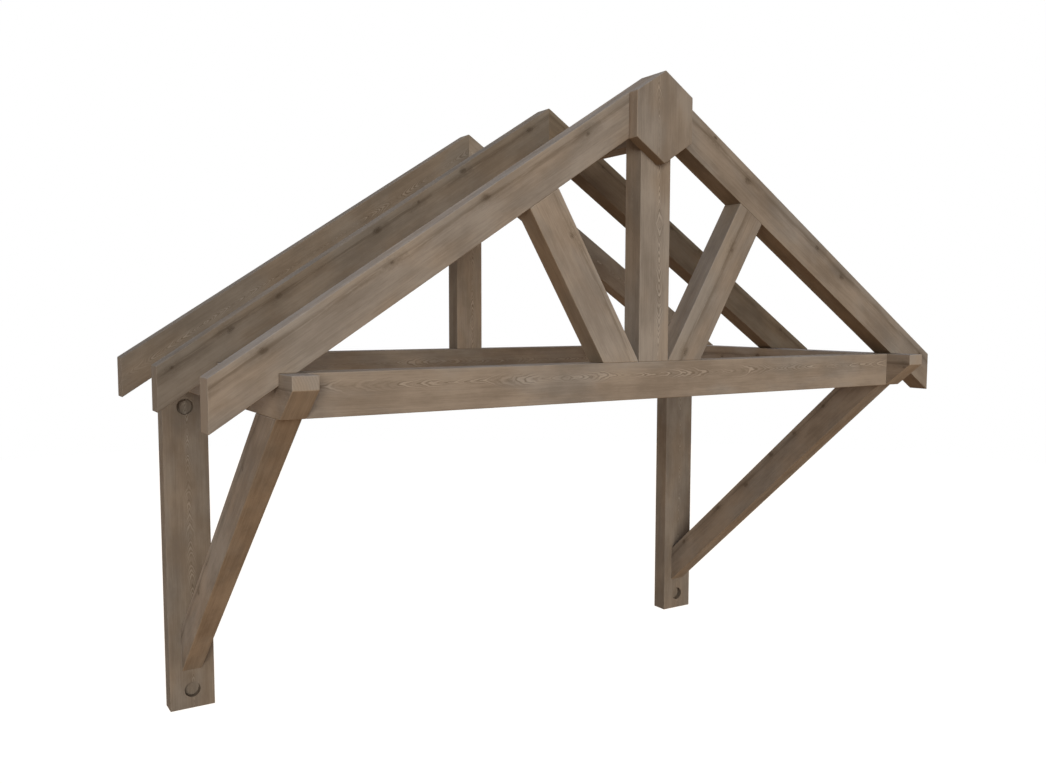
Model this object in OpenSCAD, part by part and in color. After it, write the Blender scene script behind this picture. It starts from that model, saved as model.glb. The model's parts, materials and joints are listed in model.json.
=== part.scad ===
// Timber gable porch canopy frame on two wall brackets, sizes in millimetres.
// X runs to the right, Y runs back to the wall, Z runs up.
// The origin is on the wall plane, at the middle of the rear tie beam.

/* [Overall] */
// Distance between the centre lines of the two wall posts
post_spacing = 1428; // [1150:2:1900]
// Distance from the wall to the front face of the front truss
projection = 788; // [600:2:1000]
// Height of the wall posts, from their foot to the underside of the arms
post_height = 728; // [580:2:900]
// Slope of the roof in degrees
roof_pitch = 33; // [24:0.5:42]
// Reach of the rafters beyond the centre line of the posts
eaves_overhang = 129; // [90:1:180]

/* [Timber sections] */
// Width of the wall posts
post_width = 98; // [75:1:140]
// Depth of the wall posts, out from the wall
post_depth = 45; // [38:1:60]
// Thickness of the ties, rafters, struts and king posts, front to back
truss_thickness = 47; // [38:1:60]
// Depth of the tie beams, from top to bottom
tie_depth = 72; // [60:1:97]
// Depth of the rafters, square to their slope
rafter_depth = 71; // [60:1:84]
// Depth of the struts, square to their length
strut_depth = 72; // [55:1:85]
// Width of the arms and braces
arm_width = 43; // [35:1:60]
// Depth of the braces, square to their length
brace_depth = 73; // [55:1:85]
// Width of the two king posts
king_width = 72; // [55:1:90]
// Width of the ridge beam
ridge_width = 47; // [38:1:60]
// Depth of the ridge beam
ridge_depth = 50; // [38:1:60]

/* [Joints and shaped ends] */
// Height of the notch by which a rafter drops over an arm
seat_drop = 18.5; // [10:0.5:24]
// Reach of the arm noses in front of the front truss
nose_reach = 61; // [30:1:90]
// Height of the upright part of an arm nose
nose_face = 23; // [12:1:35]
// Height of the brace foot above the foot of the wall post
brace_rise = 89; // [80:1:140]
// Flat left on the underside of an arm in front of its brace
brace_flat = 19; // [8:1:40]
// Width of the apex block on the front truss
block_width = 133; // [100:1:160]
// Thickness of the apex block, out from the front truss
block_thickness = 26; // [10:1:45]
// Lean of the struts from level, in degrees
strut_angle = 59.5; // [54:0.5:64]

/* [Wall bolts] */
// Diameter of the bolt holes through the wall posts
bolt_hole_diameter = 10; // [8:0.5:16]
// Diameter of the sinking for the bolt head
sinking_diameter = 35; // [24:1:44]
// Depth of the sinking for the bolt head
sinking_depth = 16; // [10:1:26]
// Distance of the bolt holes from each end of a wall post
bolt_inset = 43; // [30:1:60]

/* [Hidden] */

post_colour = [0.50, 0.45, 0.38];
truss_colour = [0.53, 0.48, 0.41];
rafter_colour = [0.47, 0.41, 0.34];

// How far a cutting form runs past the face it cuts
cut_margin = 1;
// Sides drawn on each round hole
hole_sides = 64;

// Levels: the arms and ties share one top and one underside
arm_top = tie_depth / 2;
arm_underside = -tie_depth / 2;
post_foot = arm_underside - post_height;

// Positions across the front
post_x = post_spacing / 2;
arm_inner_x = post_x - arm_width / 2;
arm_outer_x = post_x + arm_width / 2;
rafter_end_x = post_x + eaves_overhang;
tie_length = 2 * arm_inner_x;

// Positions from front to back: each truss plane is named by its back face
front_plane = -projection + truss_thickness;
rear_plane = 0;
middle_plane = (front_plane + rear_plane) / 2;
nose_y = -projection - nose_reach;
post_front_y = -post_depth;

// Roof lines
slope = tan(roof_pitch);
rafter_plumb = rafter_depth / cos(roof_pitch);
apex_z = arm_top - seat_drop + rafter_plumb + slope * arm_outer_x;
seat_start_x = (apex_z - rafter_plumb - arm_top) / slope;
function roof_top(x) = apex_z - slope * x;
function roof_underside(x) = roof_top(x) - rafter_plumb;

// Ridge beam, seated in the middle rafters by the same drop as the arms
ridge_half = ridge_width / 2;
ridge_top = roof_underside(ridge_half) + seat_drop;
ridge_length = rear_plane - truss_thickness - front_plane;

// King posts, and the apex block that runs with the rafters and ends in a point below
king_half = king_width / 2;
block_half = block_width / 2;
block_shoulder = roof_underside(block_half);
block_tip = block_shoulder - slope * block_half;

// Braces, given by the line of their lower face
brace_foot_z = post_foot + brace_rise;
brace_front_y = -projection + brace_flat;
brace_angle = atan2(arm_underside - brace_foot_z, post_front_y - brace_front_y);
brace_plumb = brace_depth / cos(brace_angle);
brace_level = brace_depth / sin(brace_angle);

// Struts, from the corner of king post and tie up to the rafter
strut_rise = tan(strut_angle);
strut_level = strut_depth / sin(strut_angle);
function strut_head_x(foot_x) =
    (apex_z - rafter_plumb - arm_top + strut_rise * foot_x) / (strut_rise + slope);

// Shared forms

// A flat outline drawn in X and Z, given thickness towards the front from a back face
module across(back_y, thickness) {
    translate([0, back_y, 0])
        rotate([90, 0, 0])
            linear_extrude(height = thickness)
                children();
}

// A flat outline drawn in Y and Z, given a width along X about a centre line
module lengthwise(centre_x, width) {
    translate([centre_x - width / 2, 0, 0])
        rotate([90, 0, 90])
            linear_extrude(height = width)
                children();
}

// Draws its children on the right, or their mirror image on the left
module on_side(side) {
    if (side == "left")
        mirror([1, 0, 0]) children();
    else
        children();
}

// Bolt hole with a wide sinking in the front face of a wall post
module bolt_hole(z) {
    translate([post_x, 0, z])
        rotate([90, 0, 0])
            union() {
                translate([0, 0, -cut_margin])
                    cylinder(d = bolt_hole_diameter, h = post_depth + 2 * cut_margin, $fn = hole_sides);
                translate([0, 0, post_depth - sinking_depth])
                    cylinder(d = sinking_diameter, h = sinking_depth + cut_margin, $fn = hole_sides);
            }
}

// Wall post with two sunk bolt holes
module wall_post(side) {
    color(post_colour)
        on_side(side)
            difference() {
                translate([post_x - post_width / 2, post_front_y, post_foot])
                    cube([post_width, post_depth, post_height]);
                bolt_hole(post_foot + bolt_inset);
                bolt_hole(arm_underside - bolt_inset);
            }
}

// Arm from the wall to a sloping nose in front of the truss
module arm(side) {
    color(post_colour)
        on_side(side)
            lengthwise(post_x, arm_width)
                polygon([
                    [0, arm_underside],
                    [0, arm_top],
                    [nose_y, arm_top],
                    [nose_y, arm_top - nose_face],
                    [-projection, arm_underside]
                ]);
}

// Brace from the wall post up to the underside of the arm
module brace(side) {
    color(post_colour)
        on_side(side)
            lengthwise(post_x, arm_width)
                polygon([
                    [post_front_y, brace_foot_z],
                    [post_front_y, brace_foot_z + brace_plumb],
                    [brace_front_y + brace_level, arm_underside],
                    [brace_front_y, arm_underside]
                ]);
}

// Tie beam between the two arms
module tie_beam(back_y) {
    color(truss_colour)
        translate([-tie_length / 2, back_y - truss_thickness, arm_underside])
            cube([tie_length, truss_thickness, tie_depth]);
}

// Six-sided block on the front of the truss, over the joint of rafters and king post
module apex_block() {
    color(truss_colour)
        across(-projection, block_thickness)
            polygon([
                [0, apex_z],
                [block_half, roof_top(block_half)],
                [block_half, block_shoulder],
                [0, block_tip],
                [-block_half, block_shoulder],
                [-block_half, roof_top(block_half)]
            ]);
}

// King post, pointed to fit under a pair of rafters
module king_post(back_y) {
    color(truss_colour)
        across(back_y, truss_thickness)
            polygon([
                [-king_half, arm_top],
                [king_half, arm_top],
                [king_half, roof_underside(king_half)],
                [0, roof_underside(0)],
                [-king_half, roof_underside(king_half)]
            ]);
}

// Strut from the foot of the front king post to the middle of a rafter
module strut(side) {
    inner_x = strut_head_x(king_half);
    outer_x = strut_head_x(king_half + strut_level);
    color(truss_colour)
        on_side(side)
            across(front_plane, truss_thickness)
                polygon([
                    [king_half, arm_top],
                    [king_half + strut_level, arm_top],
                    [outer_x, roof_underside(outer_x)],
                    [inner_x, roof_underside(inner_x)]
                ]);
}

// Outline of a rafter from its plumb cut at the apex to its plumb-cut foot, notched over the arm
module rafter_outline() {
    polygon([
        [0, roof_top(0)],
        [0, roof_underside(0)],
        [seat_start_x, arm_top],
        [arm_outer_x, arm_top],
        [arm_outer_x, roof_underside(arm_outer_x)],
        [rafter_end_x, roof_underside(rafter_end_x)],
        [rafter_end_x, roof_top(rafter_end_x)]
    ]);
}

// Rafter of the front or rear pair, meeting its partner at the apex
module end_rafter(side, back_y) {
    color(rafter_colour)
        on_side(side)
            across(back_y, truss_thickness)
                rafter_outline();
}

// Rafter of the middle pair, notched over the ridge beam as well
module middle_rafter(side) {
    color(rafter_colour)
        on_side(side)
            across(middle_plane, truss_thickness)
                difference() {
                    rafter_outline();
                    translate([-cut_margin, roof_underside(ridge_half) - cut_margin])
                        square([ridge_half + cut_margin, seat_drop + cut_margin]);
                }
}

// Ridge beam between the two king posts
module ridge_beam() {
    color(rafter_colour)
        translate([-ridge_half, front_plane, ridge_top - ridge_depth])
            cube([ridge_width, ridge_length, ridge_depth]);
}

// Named pieces
module left_wall_post() { wall_post("left"); }
module right_wall_post() { wall_post("right"); }
module left_arm() { arm("left"); }
module right_arm() { arm("right"); }
module left_brace() { brace("left"); }
module right_brace() { brace("right"); }
module front_tie_beam() { tie_beam(front_plane); }
module rear_tie_beam() { tie_beam(rear_plane); }
module front_king_post() { king_post(front_plane); }
module rear_king_post() { king_post(rear_plane); }
module left_strut() { strut("left"); }
module right_strut() { strut("right"); }
module front_left_rafter() { end_rafter("left", front_plane); }
module front_right_rafter() { end_rafter("right", front_plane); }
module middle_left_rafter() { middle_rafter("left"); }
module middle_right_rafter() { middle_rafter("right"); }
module rear_left_rafter() { end_rafter("left", rear_plane); }
module rear_right_rafter() { end_rafter("right", rear_plane); }

left_wall_post();
right_wall_post();
left_arm();
right_arm();
left_brace();
right_brace();
front_tie_beam();
rear_tie_beam();
front_king_post();
rear_king_post();
left_strut();
right_strut();
apex_block();
front_left_rafter();
front_right_rafter();
middle_left_rafter();
middle_right_rafter();
rear_left_rafter();
rear_right_rafter();
ridge_beam();
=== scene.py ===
"""Dresses a timber porch canopy frame as weathered, planed softwood.

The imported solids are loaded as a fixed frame, in metres. Every timber is rebuilt from its own solid with
eased arrises, and carries the direction of its grain in mesh attributes. The finish reads those attributes,
so that fibres, flame figure, knots and end grain follow each timber whichever way it leans.
"""

from __future__ import annotations

import json
import logging
import math
from dataclasses import dataclass, field
from enum import Enum

import bmesh
import bpy
from mathutils import Matrix, Vector

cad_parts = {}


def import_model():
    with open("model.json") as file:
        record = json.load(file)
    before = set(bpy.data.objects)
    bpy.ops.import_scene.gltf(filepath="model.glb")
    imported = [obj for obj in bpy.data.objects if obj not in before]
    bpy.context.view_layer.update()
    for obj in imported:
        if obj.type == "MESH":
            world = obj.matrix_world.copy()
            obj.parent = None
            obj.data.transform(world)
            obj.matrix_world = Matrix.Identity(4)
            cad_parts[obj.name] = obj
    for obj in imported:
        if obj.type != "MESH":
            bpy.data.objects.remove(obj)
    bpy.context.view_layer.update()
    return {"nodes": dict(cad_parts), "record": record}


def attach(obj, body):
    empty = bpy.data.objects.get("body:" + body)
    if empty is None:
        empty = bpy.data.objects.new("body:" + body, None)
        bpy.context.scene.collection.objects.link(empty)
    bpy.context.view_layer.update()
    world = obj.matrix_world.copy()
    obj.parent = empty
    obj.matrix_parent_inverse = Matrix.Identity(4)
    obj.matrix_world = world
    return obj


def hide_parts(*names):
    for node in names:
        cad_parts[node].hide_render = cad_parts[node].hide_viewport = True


LOG = logging.getLogger("porch_canopy")
BODY = "root"

# Mesh attributes: where a point lies in the grain, what kind of face it is on, and its tone with the
# painted light and painted shade that the face is given.
GRAIN = "grain"
FACE = "face"
TONE_AND_SHADE = "tone_and_shade"

# Corners closer than this are one corner, and faces that turn less than the flat angle are one face.
MERGE_DISTANCE = 1e-5
FLAT_ANGLE = math.radians(0.5)
SHARP_ANGLE = math.radians(20.0)

# A timber stands upright where its width has less than this share of rise.
STANDING_LEAN = 0.1

# Each timber's own tone is this, plus a part of the range that its seed picks.
LEAST_TONE = 0.97
TONE_RANGE = 0.06
TONE_STEP = 0.618

# The back and the edges of a timber start elsewhere in the pattern, and only wide faces show it in full.
BACK_SEED = 0.31
EDGE_SEED = 0.57
EDGE_FIGURE = 0.15

Feed = bpy.types.NodeSocket | float | tuple
Triple = tuple[float, float, float]
Colour = tuple[float, float, float, float]
Ramp = tuple[float, ...]


class Through(Enum):
    """The axis that runs through the thickness of a timber."""

    TRUSS = (0.0, 1.0, 0.0)
    BRACKET = (1.0, 0.0, 0.0)


class Figure(Enum):
    """What shows on the wide faces of a timber."""

    LONG_FLAME = "long flame"
    FINE_FLAME = "fine flame"
    KNOTTY = "knotty"


class Side(Enum):
    """The kinds of face that a timber has."""

    END = "end"
    EDGE = "edge"
    WIDE = "wide"


@dataclass(frozen=True)
class Noise:
    """A noise that is stretched along the grain, across it and from timber to timber."""

    scale: Triple
    detail: float
    roughness: float = 0.55


class WoodNoise(Enum):
    """The noises in the patterns of the wood."""

    BANDS = Noise((1.3, 62.0, 7.0), 3.0, 0.5)
    FIBRE = Noise((14.0, 380.0, 3.0), 4.0, 0.65)
    PORES = Noise((44.0, 620.0, 5.0), 2.0, 0.5)
    CLOUDS = Noise((8.0, 17.0, 11.0), 5.0, 0.6)
    TINT = Noise((5.0, 12.0, 13.0), 3.0)
    FLAME_SHIVER = Noise((45.0, 70.0, 9.0), 2.0)
    KNOT_WOBBLE = Noise((130.0, 240.0, 7.0), 3.0, 0.6)
    KNOT_STREAK = Noise((10.0, 190.0, 4.0), 3.0, 0.6)
    RING_SHIVER = Noise((60.0, 60.0, 5.0), 2.0)
    END_FLECK = Noise((700.0, 700.0, 2.0), 2.0)
    ARRIS_WEAR = Noise((22.0, 90.0, 6.0), 3.0, 0.6)


@dataclass(frozen=True)
class Drift:
    """A slow change along a timber: how fast it goes, which layer it is read from and how fine it is."""

    rate: float
    layer: float
    detail: float


class WoodDrift(Enum):
    """The slow changes in the patterns of the wood."""

    FLAME_WANDER = Drift(3.2, 0.0, 1.5)
    FLAME_SWELL = Drift(9.0, 5.0, 1.0)
    FLAME_PRESENCE = Drift(7.0, 3.0, 2.0)
    KNOT_WANDER = Drift(6.0, 8.0, 2.0)


class Bench:
    """Places shader nodes in one node tree and joins them."""

    def __init__(self, tree: bpy.types.NodeTree) -> None:
        """Keeps the tree to work in.

        Args:
            tree: The node tree of a material, a world or a group.
        """
        self.tree = tree

    def node(self, kind: str, **settings: object) -> bpy.types.Node:
        """Adds a node.

        Args:
            kind: The node's type name.
            settings: Values for the node's own properties.

        Returns:
            The new node.
        """
        made = self.tree.nodes.new(kind)
        for name, value in settings.items():
            setattr(made, name, value)
        return made

    def feed(self, target: bpy.types.NodeSocket, value: Feed) -> None:
        """Joins a socket to an input, or sets the input's own value.

        Args:
            target: The input socket.
            value: An output socket, a number or a tuple.
        """
        if isinstance(value, bpy.types.NodeSocket):
            self.tree.links.new(value, target)
        else:
            target.default_value = value

    def math(self, operation: str, *values: Feed, clamp: bool = False) -> bpy.types.NodeSocket:
        """Adds a sum of numbers.

        Args:
            operation: The name of the sum.
            values: Up to three numbers or sockets.
            clamp: Whether the result is kept from 0 to 1.

        Returns:
            The socket with the result.
        """
        made = self.node("ShaderNodeMath", operation=operation, use_clamp=clamp)
        for socket, value in zip(made.inputs, values):
            self.feed(socket, value)
        return made.outputs[0]

    def times(self, first: Feed, second: Feed) -> bpy.types.NodeSocket:
        """Multiplies two numbers."""
        return self.math("MULTIPLY", first, second)

    def fade(self, distance: Feed, rate: float) -> bpy.types.NodeSocket:
        """Falls off from 1 with a distance, faster for a rate further below zero."""
        return self.math("EXPONENT", self.times(distance, rate))

    def split(self, vector: bpy.types.NodeSocket) -> list[bpy.types.NodeSocket]:
        """Takes a vector apart.

        Args:
            vector: The vector's socket.

        Returns:
            The sockets of its three numbers.
        """
        made = self.node("ShaderNodeSeparateXYZ")
        self.feed(made.inputs[0], vector)
        return list(made.outputs)

    def combine(self, x: Feed, y: Feed, z: Feed) -> bpy.types.NodeSocket:
        """Makes a vector of three numbers.

        Args:
            x: First number.
            y: Second number.
            z: Third number.

        Returns:
            The vector's socket.
        """
        made = self.node("ShaderNodeCombineXYZ")
        for socket, value in zip(made.inputs, (x, y, z)):
            self.feed(socket, value)
        return made.outputs[0]

    def noise(
        self, place: bpy.types.NodeSocket, detail: float, roughness: float = Noise.roughness
    ) -> bpy.types.NodeSocket:
        """Adds a noise pattern.

        Args:
            place: Where the noise is read.
            detail: How many finer layers are added.
            roughness: How strong the finer layers are.

        Returns:
            The noise value's socket, from 0 to 1.
        """
        made = self.node("ShaderNodeTexNoise")
        self.feed(made.inputs["Vector"], place)
        self.feed(made.inputs["Scale"], 1.0)
        self.feed(made.inputs["Detail"], detail)
        self.feed(made.inputs["Roughness"], roughness)
        return made.outputs[0]

    def grained(self, grain: bpy.types.NodeSocket, kind: WoodNoise) -> bpy.types.NodeSocket:
        """Adds one of the wood's noises, stretched with the grain.

        Args:
            grain: The grain vector's socket.
            kind: Which noise.

        Returns:
            The noise value's socket, from 0 to 1.
        """
        chosen = kind.value
        made = self.node("ShaderNodeVectorMath", operation="MULTIPLY")
        self.feed(made.inputs[0], grain)
        self.feed(made.inputs[1], chosen.scale)
        return self.noise(made.outputs[0], chosen.detail, chosen.roughness)

    def drifting(self, along: Feed, seed: Feed, kind: WoodDrift) -> bpy.types.NodeSocket:
        """Adds one of the slow changes along a timber.

        Args:
            along: How far along the timber it is read.
            seed: The timber's own number.
            kind: Which change.

        Returns:
            The value's socket, from 0 to 1.
        """
        chosen = kind.value
        place = self.combine(self.times(along, chosen.rate), seed, chosen.layer)
        return self.noise(place, chosen.detail)

    def chance(self, first: Feed, second: Feed) -> bpy.types.Node:
        """Draws random numbers that stay the same for the same two numbers.

        Args:
            first: First number.
            second: Second number.

        Returns:
            The node with a random value and a random colour.
        """
        made = self.node("ShaderNodeTexWhiteNoise", noise_dimensions="2D")
        self.feed(made.inputs["Vector"], self.combine(first, second, 0.0))
        return made

    def ease(
        self, value: Feed, start: Feed, end: Feed, low: Feed = 0.0, high: Feed = 1.0
    ) -> bpy.types.NodeSocket:
        """Maps a number smoothly from one range to another.

        Args:
            value: The number.
            start: Where the change begins.
            end: Where the change ends.
            low: The result at the start.
            high: The result at the end.

        Returns:
            The socket with the result.
        """
        made = self.node("ShaderNodeMapRange", interpolation_type="SMOOTHSTEP")
        for socket, given in zip(made.inputs, (value, start, end, low, high)):
            self.feed(socket, given)
        return made.outputs[0]

    def mix(self, share: Feed, first: Feed, second: Feed, blend: str = "MIX") -> bpy.types.NodeSocket:
        """Mixes two colours.

        Args:
            share: How much of the second colour is taken.
            first: First colour.
            second: Second colour.
            blend: The way in which they are mixed.

        Returns:
            The mixed colour's socket.
        """
        made = self.node("ShaderNodeMix", data_type="RGBA", blend_type=blend)
        self.feed(made.inputs[0], share)
        self.feed(made.inputs[6], first)
        self.feed(made.inputs[7], second)
        return made.outputs[2]

    def attribute(self, name: str) -> bpy.types.NodeSocket:
        """Reads a mesh attribute.

        Args:
            name: The attribute's name.

        Returns:
            The socket of its vector.
        """
        made = self.node("ShaderNodeAttribute", attribute_type="GEOMETRY", attribute_name=name)
        return made.outputs["Vector"]

    def group(self, tree: bpy.types.NodeTree, **values: Feed) -> dict[str, bpy.types.NodeSocket]:
        """Places a node group.

        Args:
            tree: The group's tree.
            values: What each input gets, by its name.

        Returns:
            The output sockets by name.
        """
        made = self.node("ShaderNodeGroup", node_tree=tree)
        for name, value in values.items():
            self.feed(made.inputs[name], value)
        return {socket.name: socket for socket in made.outputs}


@dataclass(frozen=True)
class FlameShape:
    """The form of the flame figure: its swelling width, its teeth, and where it fades out."""

    swell: Ramp = (0.32, 0.68, 0.6, 1.5)
    shiver: float = 2.3
    point: float = 1.4
    curve: float = 1.15
    rise: Ramp = (0.0, 0.34)
    fall: Ramp = (0.5, 0.98, 0.0, 2.0)
    luck: Ramp = (0.15, 0.85, 0.1, 1.0)
    presence: Ramp = (0.32, 0.54, 0.35, 1.0)
    fading: float = -0.8


@dataclass(frozen=True)
class KnotShape:
    """The form of the knots, of their streaks and of the smudge around them, in metres or as shares."""

    sway: float = 0.02
    present: Ramp = (0.32, 0.4)
    shift: float = 0.6
    sideways: float = 0.016
    least_radius: float = 0.0028
    radius_range: float = 0.0042
    slimness: float = 0.62
    ragged: float = 3.0
    spot: Ramp = (-0.5, 1.5, 1.0, 0.0)
    tail_share: float = 0.5
    tail_fading: float = -26.0
    streak: Ramp = (0.37, 0.54)
    smudge_rate: float = 30.0
    smudge_width: float = 0.35
    smudge_fading: float = -0.8
    smudge: Ramp = (0.3, 0.65, 0.4, 1.0)
    upper: Ramp = (0.0, 0.007)


@dataclass
class WoodPatterns:
    """The shared patterns of sawn wood, each a node group that is built once."""

    sawn: bpy.types.NodeTree = field(init=False)
    flame: bpy.types.NodeTree = field(init=False)
    knots: bpy.types.NodeTree = field(init=False)
    rings: bpy.types.NodeTree = field(init=False)
    wear: bpy.types.NodeTree = field(init=False)
    pore_ramp: Ramp = (0.56, 0.74)
    tint_ramp: Ramp = (0.38, 0.62)
    pith_depth: float = 0.07
    ring_shiver: float = 0.004
    ring_ramp: Ramp = (0.25, 0.95)
    wear_ramp: Ramp = (0.36, 0.66, 0.25, 1.0)

    def __post_init__(self) -> None:
        """Builds every group."""
        self.sawn = self._sawn()
        self.flame = self._flame(FlameShape())
        self.knots = self._knots(KnotShape())
        self.rings = self._rings()
        self.wear = self._wear()

    @staticmethod
    def _start(
        name: str, values: dict[str, float], outputs: tuple[str, ...]
    ) -> tuple[Bench, bpy.types.Node, bpy.types.Node]:
        """Starts a group that reads the grain vector.

        Args:
            name: The group's name.
            values: Its number inputs with their usual values.
            outputs: The names of its number outputs.

        Returns:
            The bench, the group's input node and its output node.
        """
        tree = bpy.data.node_groups.new(name, "ShaderNodeTree")
        tree.interface.new_socket("Grain", in_out="INPUT", socket_type="NodeSocketVector")
        for given, usual in values.items():
            socket = tree.interface.new_socket(given, in_out="INPUT", socket_type="NodeSocketFloat")
            socket.default_value = usual
        for given in outputs:
            tree.interface.new_socket(given, in_out="OUTPUT", socket_type="NodeSocketFloat")
        bench = Bench(tree)
        return bench, bench.node("NodeGroupInput"), bench.node("NodeGroupOutput")

    def _sawn(self) -> bpy.types.NodeTree:
        """Builds straight grain: bands, fine fibres, short dark pores, soft clouds and a tint.

        Returns:
            The group's tree.
        """
        outputs = ("Bands", "Fibre", "Pores", "Clouds", "Tint")
        bench, given, out = self._start("Straight Grain", {}, outputs)
        grain = given.outputs["Grain"]
        pores = bench.grained(grain, WoodNoise.PORES)
        tint = bench.grained(grain, WoodNoise.TINT)
        bench.feed(out.inputs["Bands"], bench.grained(grain, WoodNoise.BANDS))
        bench.feed(out.inputs["Fibre"], bench.grained(grain, WoodNoise.FIBRE))
        bench.feed(out.inputs["Pores"], bench.ease(pores, *self.pore_ramp))
        bench.feed(out.inputs["Clouds"], bench.grained(grain, WoodNoise.CLOUDS))
        bench.feed(out.inputs["Tint"], bench.ease(tint, *self.tint_ramp))
        return bench.tree

    def _flame(self, shape: FlameShape) -> bpy.types.NodeTree:
        """Builds the pointed flame figure that runs along a face, above and below zero.

        Args:
            shape: The form of the figure.

        Returns:
            The group's tree.
        """
        usual = {"Spacing": 0.013, "Width": 0.0048, "Turn": 0.55, "Sway": 0.014}
        bench, given, out = self._start("Flame Figure", usual, ("Figure",))
        grain = given.outputs["Grain"]
        along, across, seed = bench.split(grain)
        wander = bench.drifting(along, seed, WoodDrift.FLAME_WANDER)
        drift = bench.times(bench.math("SUBTRACT", wander, 0.5), given.outputs["Sway"])
        swell = bench.drifting(along, seed, WoodDrift.FLAME_SWELL)
        width = bench.times(bench.ease(swell, *shape.swell), given.outputs["Width"])
        ratio = bench.math("DIVIDE", bench.math("SUBTRACT", across, drift), width)
        ratio = bench.math("ABSOLUTE", ratio)

        shiver = bench.grained(grain, WoodNoise.FLAME_SHIVER)
        shiver = bench.times(bench.math("SUBTRACT", shiver, 0.5), shape.shiver)
        run = bench.math("PINGPONG", bench.math("ADD", along, seed), given.outputs["Turn"])
        ring = bench.math("ADD", bench.math("DIVIDE", run, given.outputs["Spacing"]), shiver)
        ring = bench.math("MULTIPLY_ADD", bench.math("POWER", ratio, shape.point), shape.curve, ring)
        tooth = bench.math("FRACT", ring)
        figure = bench.math("SUBTRACT", bench.ease(tooth, *shape.rise), bench.ease(tooth, *shape.fall))
        luck = bench.chance(bench.math("FLOOR", ring), seed).outputs["Value"]
        figure = bench.times(figure, bench.ease(luck, *shape.luck))

        mask = bench.fade(bench.times(ratio, ratio), shape.fading)
        presence = bench.drifting(along, seed, WoodDrift.FLAME_PRESENCE)
        mask = bench.times(mask, bench.ease(presence, *shape.presence))
        bench.feed(out.inputs["Figure"], bench.times(figure, mask))
        return bench.tree

    def _knots(self, shape: KnotShape) -> bpy.types.NodeTree:
        """Builds small knots with dark streaks, strung along the figure line of a face.

        Args:
            shape: The form of the knots and their marks.

        Returns:
            The group's tree.
        """
        usual = {"Gap": 0.115, "Spread": 0.0056}
        bench, given, out = self._start("Strung Knots", usual, ("Knot", "Streak", "Smudge", "Upper"))
        grain = given.outputs["Grain"]
        gap = given.outputs["Gap"]
        along, across, seed = bench.split(grain)
        wander = bench.drifting(along, seed, WoodDrift.KNOT_WANDER)
        offset = bench.math("ADD", across, shape.sway / 2.0)
        offset = bench.math("MULTIPLY_ADD", wander, -shape.sway, offset)
        place = bench.math("DIVIDE", bench.math("ADD", along, seed), gap)
        luck = bench.chance(bench.math("FLOOR", place), seed)
        shift, size, side = bench.split(luck.outputs["Color"])
        present = bench.ease(luck.outputs["Value"], *shape.present)
        centre = bench.math("MULTIPLY_ADD", shift, shape.shift, (1.0 - shape.shift) / 2.0)
        local = bench.times(bench.math("SUBTRACT", bench.math("FRACT", place), centre), gap)

        lateral = bench.math("MULTIPLY_ADD", side, shape.sideways, -shape.sideways / 2.0)
        radius = bench.math("MULTIPLY_ADD", size, shape.radius_range, shape.least_radius)
        long_way = bench.times(bench.math("DIVIDE", local, radius), shape.slimness)
        cross_way = bench.math("DIVIDE", bench.math("SUBTRACT", offset, lateral), radius)
        wobble = bench.grained(grain, WoodNoise.KNOT_WOBBLE)
        reach = bench.math("MULTIPLY_ADD", long_way, long_way, bench.times(cross_way, cross_way))
        reach = bench.math("SUBTRACT", reach, shape.ragged / 2.0)
        reach = bench.math("MULTIPLY_ADD", wobble, shape.ragged, reach)
        spot = bench.times(bench.ease(reach, *shape.spot), present)

        ratio = bench.math("DIVIDE", offset, given.outputs["Spread"])
        square = bench.times(ratio, ratio)
        tail = bench.times(bench.fade(bench.math("ABSOLUTE", local), shape.tail_fading), present)
        tail = bench.math("MULTIPLY_ADD", tail, shape.tail_share, 1.0 - shape.tail_share)
        streak = bench.ease(bench.grained(grain, WoodNoise.KNOT_STREAK), *shape.streak)
        streak = bench.times(streak, bench.times(bench.fade(square, -1.0), tail))
        blur = bench.times(local, shape.smudge_rate)
        blur = bench.math("MULTIPLY_ADD", blur, blur, bench.times(square, shape.smudge_width))
        smudge = bench.times(bench.fade(blur, shape.smudge_fading), bench.ease(wobble, *shape.smudge))
        bench.feed(out.inputs["Knot"], spot)
        bench.feed(out.inputs["Streak"], streak)
        bench.feed(out.inputs["Smudge"], bench.times(smudge, present))
        bench.feed(out.inputs["Upper"], bench.ease(offset, *shape.upper))
        return bench.tree

    def _rings(self) -> bpy.types.NodeTree:
        """Builds the growth rings of a sawn end.

        Returns:
            The group's tree.
        """
        bench, given, out = self._start("End Rings", {"Spacing": 0.0045}, ("Rings", "Fleck"))
        grain = given.outputs["Grain"]
        width, depth, _ = bench.split(grain)
        pith = bench.math("ADD", depth, self.pith_depth)
        squares = bench.math("MULTIPLY_ADD", width, width, bench.times(pith, pith))
        shiver = bench.grained(grain, WoodNoise.RING_SHIVER)
        distance = bench.math("MULTIPLY_ADD", shiver, self.ring_shiver, bench.math("SQRT", squares))
        tooth = bench.math("FRACT", bench.math("DIVIDE", distance, given.outputs["Spacing"]))
        bench.feed(out.inputs["Rings"], bench.ease(tooth, *self.ring_ramp))
        bench.feed(out.inputs["Fleck"], bench.grained(grain, WoodNoise.END_FLECK))
        return bench.tree

    def _wear(self) -> bpy.types.NodeTree:
        """Builds broken wear along the arrises.

        Returns:
            The group's tree.
        """
        bench, given, out = self._start("Arris Wear", {"Arris": 0.0}, ("Wear",))
        broken = bench.grained(given.outputs["Grain"], WoodNoise.ARRIS_WEAR)
        broken = bench.ease(broken, *self.wear_ramp)
        bench.feed(out.inputs["Wear"], bench.times(broken, given.outputs["Arris"]))
        return bench.tree


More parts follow.
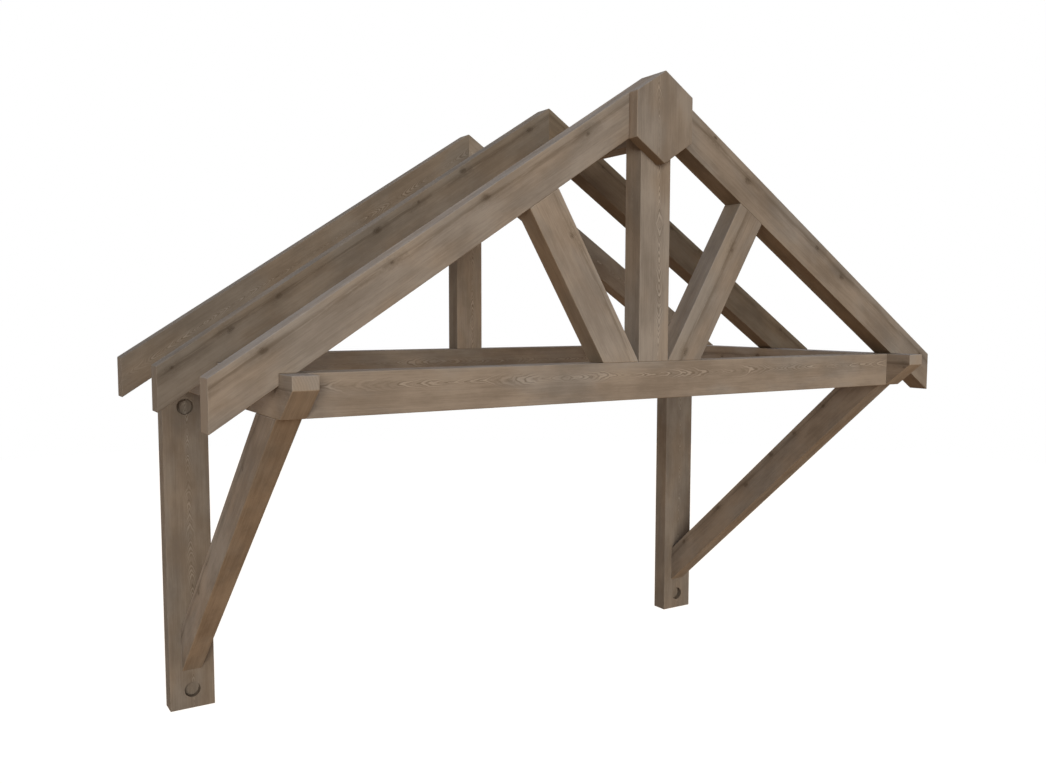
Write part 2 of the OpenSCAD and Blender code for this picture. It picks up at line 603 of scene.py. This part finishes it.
@dataclass(frozen=True)
class Marking:
    """How strongly each pattern marks the colour of the wood."""

    fibre: float = 0.24
    bands: float = 0.2
    clouds: float = 0.56
    level: Ramp = (0.36, 0.64)
    pores: float = 0.16
    flame_pale: float = 0.85
    flame_dark: float = -0.7
    upper: float = 0.22
    streak: float = 0.9
    smudge: float = 0.65
    knot: float = 0.85
    rings: float = 0.32
    fleck: Ramp = (0.5, 0.75, 0.0, 0.3)
    wear: float = 0.3


@dataclass(frozen=True)
class Relief:
    """How far each pattern stands out of a face or sinks into it."""

    fibre: float = 0.5
    bands: float = 0.4
    flame: float = 0.15
    pores: float = -0.25
    knot: float = -0.425
    strength: float = 0.6
    depth: float = 0.0005


@dataclass(frozen=True)
class WeatheredWood:
    """The finish of a timber: planed softwood, gone grey and matt out of doors."""

    name: str
    flame_strength: float
    knot_strength: float
    flame_spacing: float = 0.013
    flame_width: float = 0.0048
    pale: Colour = (0.270, 0.211, 0.159, 1.0)
    dark: Colour = (0.184, 0.140, 0.103, 1.0)
    flame_pale: Colour = (0.350, 0.283, 0.221, 1.0)
    flame_dark: Colour = (0.106, 0.076, 0.051, 1.0)
    knot: Colour = (0.072, 0.049, 0.031, 1.0)
    end: Colour = (0.257, 0.200, 0.150, 1.0)
    end_ring: Colour = (0.178, 0.135, 0.098, 1.0)
    worn: Colour = (0.310, 0.260, 0.207, 1.0)
    warm: Colour = (1.02, 0.985, 0.94, 1.0)
    cool: Colour = (0.98, 1.01, 1.045, 1.0)
    # Painted shade: multiplied in on downward faces and on shaded timbers, browner and darker.
    shade_brown: Colour = (0.91, 0.83, 0.71, 1.0)
    matt: Ramp = (0.25, 0.75, 0.82, 0.66)
    gloss: float = 0.12
    marking: Marking = Marking()
    relief: Relief = Relief()

    def material(self, patterns: WoodPatterns) -> bpy.types.Material:
        """Makes the material.

        Args:
            patterns: The shared node groups.

        Returns:
            The finished material.
        """
        made = bpy.data.materials.new(self.name)
        made.use_nodes = True
        bench = Bench(made.node_tree)
        shader = made.node_tree.nodes["Principled BSDF"]
        marks = self._read_marks(bench, patterns)
        colour = self._aged_and_shaded(bench, marks, self._figured(bench, marks))
        bump = bench.node("ShaderNodeBump")
        bench.feed(bump.inputs["Strength"], self.relief.strength)
        bench.feed(bump.inputs["Distance"], self.relief.depth)
        bench.feed(bump.inputs["Height"], self._height(bench, marks))
        bench.feed(shader.inputs["Base Color"], colour)
        bench.feed(shader.inputs["Roughness"], bench.ease(marks["Level"], *self.matt))
        bench.feed(shader.inputs["Specular IOR Level"], self.gloss)
        bench.feed(shader.inputs["Normal"], bump.outputs["Normal"])
        return made

    def _read_marks(self, bench: Bench, patterns: WoodPatterns) -> dict[str, bpy.types.NodeSocket]:
        """Places the patterns and reads each face's tone with its painted light and shade.

        Args:
            bench: The bench of the material.
            patterns: The shared node groups.

        Returns:
            The sockets of all marks by name.
        """
        grain = bench.attribute(GRAIN)
        end, arris, figured = bench.split(bench.attribute(FACE))
        light_shade_tone, painted_brown_shade, _ = bench.split(bench.attribute(TONE_AND_SHADE))
        marks = {"End": end, "LightShadeTone": light_shade_tone, "PaintedBrownShade": painted_brown_shade}
        marks |= bench.group(patterns.sawn, Grain=grain)
        marks |= bench.group(
            patterns.flame, Grain=grain, Spacing=self.flame_spacing, Width=self.flame_width
        )
        marks |= bench.group(patterns.knots, Grain=grain)
        marks |= bench.group(patterns.rings, Grain=grain)
        marks |= bench.group(patterns.wear, Grain=grain, Arris=arris)
        marks["Figure"] = bench.times(marks["Figure"], bench.times(figured, self.flame_strength))
        knotted = bench.times(figured, self.knot_strength)
        for name in ("Knot", "Streak", "Smudge", "Upper"):
            marks[name] = bench.times(marks[name], knotted)
        level = bench.times(marks["Bands"], self.marking.bands)
        level = bench.math("MULTIPLY_ADD", marks["Fibre"], self.marking.fibre, level)
        marks["Level"] = bench.math("MULTIPLY_ADD", marks["Clouds"], self.marking.clouds, level)
        return marks

    def _figured(self, bench: Bench, marks: dict[str, bpy.types.NodeSocket]) -> bpy.types.NodeSocket:
        """Colours the long faces: grain, pores, flame figure and knots.

        Args:
            bench: The bench of the material.
            marks: The sockets of all marks by name.

        Returns:
            The colour's socket.
        """
        share = self.marking
        bright = bench.math("MAXIMUM", marks["Figure"], 0.0)
        dull = bench.math("MINIMUM", marks["Figure"], 0.0)
        streak = bench.times(marks["Streak"], share.streak)
        smudge = bench.times(marks["Smudge"], share.smudge)
        colour = bench.mix(bench.ease(marks["Level"], *share.level), self.dark, self.pale)
        colour = bench.mix(bench.times(marks["Pores"], share.pores), colour, self.flame_dark)
        bright = bench.math("MULTIPLY", bright, share.flame_pale, clamp=True)
        colour = bench.mix(bright, colour, self.flame_pale)
        dull = bench.math("MULTIPLY", dull, share.flame_dark, clamp=True)
        colour = bench.mix(dull, colour, self.flame_dark)
        colour = bench.mix(bench.times(marks["Upper"], share.upper), colour, self.worn)
        colour = bench.mix(bench.math("MAXIMUM", streak, smudge), colour, self.flame_dark)
        return bench.mix(bench.times(marks["Knot"], share.knot), colour, self.knot)

    def _aged_and_shaded(
        self, bench: Bench, marks: dict[str, bpy.types.NodeSocket], colour: bpy.types.NodeSocket
    ) -> bpy.types.NodeSocket:
        """Adds the sawn ends, the wear, the tint, the painted shade that browns and darkens downward faces
        and shaded timbers, and the tone with its painted light and shade.

        Args:
            bench: The bench of the material.
            marks: The sockets of all marks by name.
            colour: The colour of the long faces.

        Returns:
            The colour's socket.
        """
        share = self.marking
        sawn_end = bench.mix(bench.times(marks["Rings"], share.rings), self.end, self.end_ring)
        sawn_end = bench.mix(bench.ease(marks["Fleck"], *share.fleck), sawn_end, self.end_ring)
        colour = bench.mix(marks["End"], colour, sawn_end)
        colour = bench.mix(bench.times(marks["Wear"], share.wear), colour, self.worn)
        tinge = bench.mix(marks["Tint"], self.cool, self.warm)
        colour = bench.mix(1.0, colour, tinge, "MULTIPLY")
        # Painted shade: downward faces and shaded timbers turn browner and darker.
        colour = bench.mix(marks["PaintedBrownShade"], colour, self.shade_brown, "MULTIPLY")
        # The face's tone, with its painted light and shade, multiplies the colour.
        shade = bench.combine(marks["LightShadeTone"], marks["LightShadeTone"], marks["LightShadeTone"])
        return bench.mix(1.0, colour, shade, "MULTIPLY")

    def _height(self, bench: Bench, marks: dict[str, bpy.types.NodeSocket]) -> bpy.types.NodeSocket:
        """Adds up the relief of the face.

        Args:
            bench: The bench of the material.
            marks: The sockets of all marks by name.

        Returns:
            The height's socket.
        """
        height = bench.times(marks["Bands"], self.relief.bands)
        height = bench.math("MULTIPLY_ADD", marks["Fibre"], self.relief.fibre, height)
        height = bench.math("MULTIPLY_ADD", marks["Figure"], self.relief.flame, height)
        height = bench.math("MULTIPLY_ADD", marks["Pores"], self.relief.pores, height)
        return bench.math("MULTIPLY_ADD", marks["Knot"], self.relief.knot, height)


@dataclass
class Timber:
    """One timber, rebuilt from its solid with eased arrises and its own grain."""

    node: str
    figure: Figure
    seed: float
    through: Through = Through.TRUSS
    line: float = 0.0
    # Tone, per timber: paints light and shade into the whole timber, paler where it stands in light and
    # darker where it stands in shade, on top of the wood's own random tone.
    light_shade_tone: float = 1.0
    # Painted shade for the whole timber: how much it is browned and darkened, as downward faces are.
    painted_brown_shade: float = 0.0
    # Painted light or shade on the timber's edges: above one is paler, below one darker.
    edge_light_shade: float = 1.0
    edge_lean: float = 0.9
    arris: float = 0.0014
    shortest_arris: float = 0.006
    along: Vector = field(init=False)
    across: Vector = field(init=False)
    thick: Vector = field(init=False)

    def build(self, source: bpy.types.Object) -> bpy.types.Object:
        """Rebuilds the timber.

        Args:
            source: The solid's object.

        Returns:
            The new piece, in the same place.
        """
        shape = bmesh.new()
        shape.from_mesh(source.data)
        bmesh.ops.remove_doubles(shape, verts=shape.verts, dist=MERGE_DISTANCE)
        bmesh.ops.dissolve_limit(shape, angle_limit=FLAT_ANGLE, verts=shape.verts, edges=shape.edges)
        self._shape(shape)
        self._find_axes(shape)
        eased = self._ease_arrises(shape)
        self._write_grain(shape, eased)
        mesh = bpy.data.meshes.new(f"{self.node}_timber")
        shape.to_mesh(mesh)
        shape.free()
        piece = bpy.data.objects.new(f"{self.node}_timber", mesh)
        bpy.context.scene.collection.objects.link(piece)
        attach(piece, BODY)
        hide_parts(self.node)
        return piece

    def _shape(self, shape: bmesh.types.BMesh) -> None:
        """Leaves a plain timber as its solid is."""

    def _shade(self, face: bmesh.types.BMFace) -> float:
        """Gives the timber its tone with painted light and shade, and paints extra light or shade on its
        edges.

        Args:
            face: A face of the timber.

        Returns:
            The tone of the face, with its painted light and shade.
        """
        on_edge = abs(face.normal.dot(self.across)) > self.edge_lean
        return self.light_shade_tone * (self.edge_light_shade if on_edge else 1.0)

    def _find_axes(self, shape: bmesh.types.BMesh) -> None:
        """Takes the grain's direction from the longest edge.

        Args:
            shape: The timber's mesh before its arrises are eased.
        """
        longest = max(shape.edges, key=lambda edge: edge.calc_length())
        self.along = (longest.verts[1].co - longest.verts[0].co).normalized()
        self.thick = Vector(self.through.value)
        self.across = self.thick.cross(self.along).normalized()
        stands = abs(self.across.z) < STANDING_LEAN
        if (self.across.x if stands else self.across.z) < 0.0:
            self.across.negate()

    def _ease_arrises(self, shape: bmesh.types.BMesh) -> set[bmesh.types.BMFace]:
        """Bevels the straight edges, and leaves the short steps of the round sinkings.

        Args:
            shape: The timber's mesh.

        Returns:
            The narrow faces made along the edges.
        """
        sharp = [edge for edge in shape.edges if edge.calc_face_angle(0.0) > SHARP_ANGLE]
        made = bmesh.ops.bevel(
            shape,
            geom=[edge for edge in sharp if edge.calc_length() > self.shortest_arris],
            offset=self.arris,
            offset_type="OFFSET",
            affect="EDGES",
            segments=2,
            profile=0.5,
            material=-1,
            clamp_overlap=True,
        )
        shape.normal_update()
        return set(made["faces"])

    def _side(self, normal: Vector) -> Side:
        """Tells which kind of face looks in a direction.

        Args:
            normal: The face's direction.

        Returns:
            The kind of face.
        """
        axes = {Side.END: self.along, Side.EDGE: self.across, Side.WIDE: self.thick}
        return max(axes, key=lambda side: abs(normal.dot(axes[side])))

    def _write_grain(self, shape: bmesh.types.BMesh, eased: set[bmesh.types.BMFace]) -> None:
        """Writes the grain's coordinates, the kind of face, and its tone with painted light and shade to
        the mesh.

        Args:
            shape: The timber's mesh.
            eased: The narrow faces along its arrises.
        """
        grain = shape.loops.layers.float_vector.new(GRAIN)
        kind = shape.loops.layers.float_vector.new(FACE)
        tone_and_shade = shape.loops.layers.float_vector.new(TONE_AND_SHADE)
        wide = [vert.co.dot(self.across) for vert in shape.verts]
        deep = [vert.co.dot(self.thick) for vert in shape.verts]
        middle = (min(wide) + max(wide)) / 2.0
        centre = (min(deep) + max(deep)) / 2.0
        figure_line = middle + self.line * (max(wide) - min(wide))
        own_tone = LEAST_TONE + TONE_RANGE * ((self.seed * TONE_STEP) % 1.0)
        for face in shape.faces:
            side = self._side(face.normal)
            seed = self.seed + (BACK_SEED if face.normal.dot(self.thick) > 0.0 else 0.0)
            figured = 1.0 if side is Side.WIDE else EDGE_FIGURE
            # Downward faces get painted shade, browner and darker, at least as much as their timber's
            # share.
            face_tone_and_shade = Vector((own_tone * self._shade(face), max(self.painted_brown_shade, -face.normal.z), 0.0))
            for loop in face.loops:
                run = loop.vert.co.dot(self.along)
                wide_place = loop.vert.co.dot(self.across)
                deep_place = loop.vert.co.dot(self.thick) - centre
                if side is Side.END:
                    place = (wide_place - middle, deep_place, seed)
                elif side is Side.EDGE:
                    place = (run, deep_place, seed + EDGE_SEED)
                else:
                    place = (run, wide_place - figure_line, seed)
                loop[grain] = Vector(place)
                loop[kind] = Vector((float(side is Side.END), float(face in eased), figured))
                loop[tone_and_shade] = face_tone_and_shade


@dataclass(frozen=True)
class BoltPattern:
    """Where the wall bolts go through the posts, how wide the holes are and how far the sinkings reach."""

    axes: tuple[tuple[float, float], ...]
    radius: float
    reach: float = 0.02

    @classmethod
    def stated(cls, record: dict) -> BoltPattern:
        """Reads the pattern from the record.

        Args:
            record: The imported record.

        Returns:
            The pattern, in metres.
        """
        mount = next(entry for entry in record["mounts"] if entry["kind"] == "bolt_pattern")
        sizes = mount["dims"]
        centre_x, _, centre_z = mount["pos_m"]
        half_x = sizes["spacing_x_mm"] / 2000.0
        half_z = sizes["spacing_y_mm"] / 2000.0
        axes = tuple(
            (centre_x + side * half_x, centre_z + level * half_z) for side in (-1, 1) for level in (-1, 1)
        )
        return cls(axes, sizes["hole_r_mm"] / 1000.0)

    def off_axis(self, spot: Vector) -> float:
        """Measures how far a point is from the nearest bolt.

        Args:
            spot: The point.

        Returns:
            The distance in metres.
        """
        return min(math.hypot(spot.x - x, spot.z - z) for x, z in self.axes)


@dataclass
class WallPost(Timber):
    """A wall post, whose sunk bolt holes have an unbroken floor and are open from the back."""

    bolts: BoltPattern | None = None
    hole_margin: float = 1.1
    blind_depth: float = 0.018
    # Painted shade on the walls of the sinkings and bolt holes.
    sinking_shade: float = 0.8
    wall_lean: float = 0.5

    def _shape(self, shape: bmesh.types.BMesh) -> None:
        """Closes each bolt hole at the floor of its sinking and leaves a blind hole behind.

        Args:
            shape: The post's mesh.
        """
        limit = self.bolts.radius * self.hole_margin
        inner = [
            face for face in shape.faces if all(self.bolts.off_axis(vert.co) < limit for vert in face.verts)
        ]
        bmesh.ops.delete(shape, geom=inner, context="FACES")
        rims = [edge for edge in shape.edges if edge.is_boundary]
        back = max(edge.verts[0].co.y for edge in rims)
        mouths = [edge for edge in rims if edge.verts[0].co.y > back - self.blind_depth / 2.0]
        floors = [edge for edge in rims if edge not in mouths]
        bmesh.ops.edgeloop_fill(shape, edges=floors)
        walls = bmesh.ops.extrude_edge_only(shape, edges=mouths)["geom"]
        moved = [part for part in walls if isinstance(part, bmesh.types.BMVert)]
        bmesh.ops.translate(shape, verts=moved, vec=(0.0, -self.blind_depth, 0.0))
        bottoms = [part for part in walls if isinstance(part, bmesh.types.BMEdge) and part.is_boundary]
        bmesh.ops.edgeloop_fill(shape, edges=bottoms)
        bmesh.ops.recalc_face_normals(shape, faces=shape.faces)

    def _shade(self, face: bmesh.types.BMFace) -> float:
        """Paints shade on the walls of the sinkings and bolt holes, which lie in the shade of the recess.

        Args:
            face: A face of the post.

        Returns:
            The tone of the face, with its painted shade.
        """
        inside = self.bolts.off_axis(face.calc_center_median()) < self.bolts.reach
        is_wall = abs(face.normal.y) < self.wall_lean
        return super()._shade(face) * (self.sinking_shade if inside and is_wall else 1.0)


@dataclass
class SubAssembly:
    """A group of timbers that are framed together."""

    name: str
    timbers: list[Timber]

    def build(
        self, nodes: dict[str, bpy.types.Object], finishes: dict[Figure, bpy.types.Material]
    ) -> None:
        """Builds the timbers and dresses them.

        Args:
            nodes: The solids' objects by name.
            finishes: The material for each figure.
        """
        for timber in self.timbers:
            piece = timber.build(nodes[timber.node])
            piece.data.materials.append(finishes[timber.figure])
            LOG.info("%s: %s, %d faces", self.name, piece.name, len(piece.data.polygons))


@dataclass
class WallBracket(SubAssembly):
    """A wall post with its arm and brace."""

    @classmethod
    def on(cls, side: str, seed: float, brace_light_shade: float, bolts: BoltPattern) -> WallBracket:
        """Lists the timbers of the bracket on one side.

        Args:
            side: Left or right.
            seed: Where the grain of its timbers starts.
            brace_light_shade: How pale its brace is, as painted light and shade.
            bolts: Where the wall bolts go through the post.

        Returns:
            The bracket.
        """
        # These tones paint light and shade: the post darker, in the shade under the roof, and the arm
        # paler.
        post = WallPost(
            f"{side}_wall_post", Figure.FINE_FLAME, seed, line=0.04, light_shade_tone=0.85, painted_brown_shade=0.15, bolts=bolts
        )
        arm = Timber(f"{side}_arm", Figure.KNOTTY, seed + 1.3, Through.BRACKET, line=0.2, light_shade_tone=1.26)
        brace = Timber(
            f"{side}_brace", Figure.KNOTTY, seed + 2.9, Through.BRACKET, line=0.3, light_shade_tone=brace_light_shade
        )
        return cls(f"{side} bracket", [post, arm, brace])


@dataclass
class KingPostTruss(SubAssembly):
    """The front truss: tie beam, king post with its head, struts and rafters."""

    @classmethod
    def front(cls, seed: float) -> KingPostTruss:
        """Lists the timbers of the front truss.

        Args:
            seed: Where the grain of its timbers starts.

        Returns:
            The truss.
        """
        # These tones are mostly raised, as painted light on the front truss.
        return cls(
            "front truss",
            [
                Timber("front_tie_beam", Figure.LONG_FLAME, seed, line=0.17, light_shade_tone=1.1),
                Timber("front_king_post", Figure.FINE_FLAME, seed + 1.7, line=0.14, light_shade_tone=1.11),
                # The apex block's edges are paler with painted light.
                Timber("apex_block", Figure.FINE_FLAME, seed + 2.4, line=-0.13, light_shade_tone=1.04, edge_light_shade=1.42),
                Timber("left_strut", Figure.KNOTTY, seed + 3.1, line=0.33, light_shade_tone=1.22),
                Timber("right_strut", Figure.KNOTTY, seed + 4.6, line=0.12, light_shade_tone=1.06),
                Timber("front_left_rafter", Figure.KNOTTY, seed + 5.9, line=0.3, light_shade_tone=1.15),
                Timber("front_right_rafter", Figure.KNOTTY, seed + 7.4, line=0.3, light_shade_tone=0.99),
            ],
        )


@dataclass
class BackFrame(SubAssembly):
    """The middle rafters, the rear frame against the wall and the ridge beam."""

    @classmethod
    def behind(cls, seed: float) -> BackFrame:
        """Lists the timbers behind the front truss.

        Args:
            seed: Where the grain of its timbers starts.

        Returns:
            The frame.
        """
        # These tones are mostly lowered, as painted shade on the timbers behind the front truss.
        king = Timber(
            "rear_king_post",
            Figure.FINE_FLAME,
            seed + 6.1,
            line=0.12,
            light_shade_tone=1.14,
            painted_brown_shade=0.4,
            # The rear king post's edges are darker with painted shade.
            edge_light_shade=0.78,
        )
        return cls(
            "back frame",
            [
                Timber("middle_left_rafter", Figure.KNOTTY, seed, line=0.3, light_shade_tone=0.78, painted_brown_shade=0.3),
                Timber("middle_right_rafter", Figure.KNOTTY, seed + 1.4, line=0.3, light_shade_tone=0.8, painted_brown_shade=0.9),
                Timber("rear_left_rafter", Figure.FINE_FLAME, seed + 2.3, light_shade_tone=0.74, painted_brown_shade=0.35),
                Timber("rear_right_rafter", Figure.FINE_FLAME, seed + 3.8, light_shade_tone=0.98, painted_brown_shade=0.35),
                Timber("rear_tie_beam", Figure.LONG_FLAME, seed + 5.2, line=0.05, light_shade_tone=0.93, painted_brown_shade=0.3),
                king,
                Timber("ridge_beam", Figure.FINE_FLAME, seed + 7.7, Through.BRACKET, painted_brown_shade=0.3),
            ],
        )


@dataclass(frozen=True)
class SkyLight:
    """Light from one side of the sky: where it comes from, how narrow it is and its colour."""

    toward: Triple
    narrow: float
    colour: Colour


class SkySide(Enum):
    """The sides of the sky that light the frame."""

    LEFT = SkyLight((-1.0, 0.0, 0.0), 1.0, (0.06, 0.04, 0.02, 1.0))
    RIGHT = SkyLight((1.0, 0.0, 0.0), 1.0, (0.65, 0.64, 0.62, 1.0))
    BACK = SkyLight((0.0, 1.0, 0.0), 1.0, (0.82, 0.77, 0.70, 1.0))
    ZENITH = SkyLight((0.0, 0.0, 1.0), 12.0, (0.85, 1.50, 2.80, 1.0))


@dataclass
class Studio:
    """The floor, the light and the camera."""

    floor_level: float = -2.1
    floor_radius: float = 14.0
    floor_sides: int = 64
    floor_glow: float = 0.95
    floor_bounce: Colour = (0.25, 0.15, 0.075, 1.0)
    camera_place: Triple = (-1.18955, -2.23048, 0.13100)
    camera_turn: float = 0.55436
    camera_dip: float = 0.08327
    camera_roll: float = 0.00165
    camera_reach: float = 60.0
    focal_share: float = 960.205 / 1046.0
    sensor: float = 36.0
    key_turn: float = math.radians(-22.0)
    key_rise: float = math.radians(12.0)
    key_spread: float = math.radians(30.0)
    key_strength: float = 2.6
    key_colour: Triple = (0.94, 0.97, 0.97)

    def build(self) -> None:
        """Sets the whole studio."""
        self._set_camera()
        self._set_world()
        self._set_floor()
        self._set_key()
        bpy.context.scene.view_settings.view_transform = "Standard"

    def _set_camera(self) -> None:
        """Places the camera at the photograph's viewpoint."""
        data = bpy.data.cameras.new("camera")
        data.sensor_fit = "HORIZONTAL"
        data.sensor_width = self.sensor
        data.lens = self.sensor * self.focal_share
        data.clip_end = self.camera_reach
        camera = bpy.data.objects.new("camera", data)
        camera.location = self.camera_place
        turn = Matrix.Rotation(-self.camera_turn, 3, "Z")
        dip = Matrix.Rotation(math.pi / 2.0 - self.camera_dip, 3, "X")
        roll = Matrix.Rotation(self.camera_roll, 3, "Z")
        camera.rotation_euler = (turn @ dip @ roll).to_euler()
        bpy.context.scene.collection.objects.link(camera)
        bpy.context.scene.camera = camera

    @staticmethod
    def _added(bench: Bench, first: bpy.types.Node, second: bpy.types.Node) -> bpy.types.Node:
        """Adds two shaders.

        Args:
            bench: The bench of the tree to work in.
            first: First shader's node.
            second: Second shader's node.

        Returns:
            The node of their sum.
        """
        both = bench.node("ShaderNodeAddShader")
        bench.feed(both.inputs[0], first.outputs[0])
        bench.feed(both.inputs[1], second.outputs[0])
        return both

    @staticmethod
    def _shown(bench: Bench, unseen: bpy.types.Node, seen: bpy.types.Node) -> bpy.types.NodeSocket:
        """Shows one shader to camera, glossy and transmission rays, and another to the rest.

        Args:
            bench: The bench of the tree to work in.
            unseen: The shader that lights the object.
            seen: The shader that the camera sees.

        Returns:
            The socket of the joined shader.
        """
        path = bench.node("ShaderNodeLightPath")
        share = bench.math("MAXIMUM", path.outputs["Is Camera Ray"], path.outputs["Is Glossy Ray"])
        share = bench.math("MAXIMUM", share, path.outputs["Is Transmission Ray"])
        both = bench.node("ShaderNodeMixShader")
        bench.feed(both.inputs[0], share)
        bench.feed(both.inputs[1], unseen.outputs[0])
        bench.feed(both.inputs[2], seen.outputs[0])
        return both.outputs[0]

    @staticmethod
    def _sky_light(bench: Bench, way: bpy.types.NodeSocket, light: SkyLight) -> bpy.types.Node:
        """Makes the light from one side of the sky.

        Args:
            bench: The bench of the world's tree.
            way: The direction in which the sky is seen.
            light: The light's direction, narrowness and colour.

        Returns:
            The node of its shader.
        """
        facing = bench.node("ShaderNodeVectorMath", operation="DOT_PRODUCT")
        bench.feed(facing.inputs[0], way)
        bench.feed(facing.inputs[1], light.toward)
        share = bench.math("MAXIMUM", facing.outputs["Value"], 0.0)
        made = bench.node("ShaderNodeBackground")
        bench.feed(made.inputs["Color"], light.colour)
        bench.feed(made.inputs["Strength"], bench.math("POWER", share, light.narrow))
        return made

    def _set_world(self) -> None:
        """Sets a soft sky that is seen as plain white."""
        world = bpy.data.worlds.new("soft sky")
        bpy.context.scene.world = world
        world.use_nodes = True
        world.node_tree.nodes.clear()
        bench = Bench(world.node_tree)
        way = bench.node("ShaderNodeTexCoord").outputs["Generated"]
        first, *others = (self._sky_light(bench, way, side.value) for side in SkySide)
        sky = first
        for light in others:
            sky = self._added(bench, sky, light)
        white = bench.node("ShaderNodeBackground")
        bench.feed(white.inputs["Color"], (1.0, 1.0, 1.0, 1.0))
        bench.feed(bench.node("ShaderNodeOutputWorld").inputs["Surface"], self._shown(bench, sky, white))

    def _set_floor(self) -> None:
        """Lays a plain pale floor well below the frame."""
        shape = bmesh.new()
        bmesh.ops.create_circle(shape, cap_ends=True, segments=self.floor_sides, radius=self.floor_radius)
        bmesh.ops.translate(shape, verts=shape.verts, vec=(0.0, 0.0, self.floor_level))
        mesh = bpy.data.meshes.new("floor")
        shape.to_mesh(mesh)
        shape.free()
        floor = bpy.data.objects.new("floor", mesh)
        bpy.context.scene.collection.objects.link(floor)
        finish = bpy.data.materials.new("pale floor")
        finish.use_nodes = True
        finish.node_tree.nodes.clear()
        bench = Bench(finish.node_tree)
        stone = bench.node("ShaderNodeBsdfDiffuse")
        bench.feed(stone.inputs["Color"], self.floor_bounce)
        glow = bench.node("ShaderNodeEmission")
        bench.feed(glow.inputs["Strength"], self.floor_glow)
        bounce = bench.node("ShaderNodeEmission")
        bench.feed(bounce.inputs["Color"], self.floor_bounce)
        shown = self._shown(bench, bounce, self._added(bench, stone, glow))
        bench.feed(bench.node("ShaderNodeOutputMaterial").inputs["Surface"], shown)
        mesh.materials.append(finish)

    def _set_key(self) -> None:
        """Hangs one broad soft lamp in front, a little to the left and above."""
        data = bpy.data.lights.new("key", "SUN")
        data.angle = self.key_spread
        data.energy = self.key_strength
        data.color = self.key_colour
        lamp = bpy.data.objects.new("key", data)
        level = math.cos(self.key_rise)
        away = Vector(
            (-math.sin(self.key_turn) * level, math.cos(self.key_turn) * level, -math.sin(self.key_rise))
        )
        lamp.rotation_euler = away.to_track_quat("-Z", "Y").to_euler()
        bpy.context.scene.collection.objects.link(lamp)


def main() -> None:
    """Builds the studio and the timbers in order."""
    logging.basicConfig(level=logging.INFO, format="%(message)s")
    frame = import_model()
    Studio().build()
    patterns = WoodPatterns()
    long_flame = WeatheredWood("long_flame_wood", 0.9, 0.2, flame_spacing=0.019, flame_width=0.0062)
    fine_flame = WeatheredWood("fine_flame_wood", 1.0, 0.2)
    knotty = WeatheredWood("knotty_wood", 0.1, 1.0)
    finishes = {
        Figure.LONG_FLAME: long_flame.material(patterns),
        Figure.FINE_FLAME: fine_flame.material(patterns),
        Figure.KNOTTY: knotty.material(patterns),
    }
    bolts = BoltPattern.stated(frame["record"])
    # The brace tones paint light and shade: the left brace is painted paler than the right.
    groups: list[SubAssembly] = [
        WallBracket.on("left", 0.4, 1.18, bolts),
        WallBracket.on("right", 5.3, 1.0, bolts),
        KingPostTruss.front(11.2),
        BackFrame.behind(23.5),
    ]
    for group in groups:
        group.build(frame["nodes"], finishes)


if __name__ == "__main__":
    main()
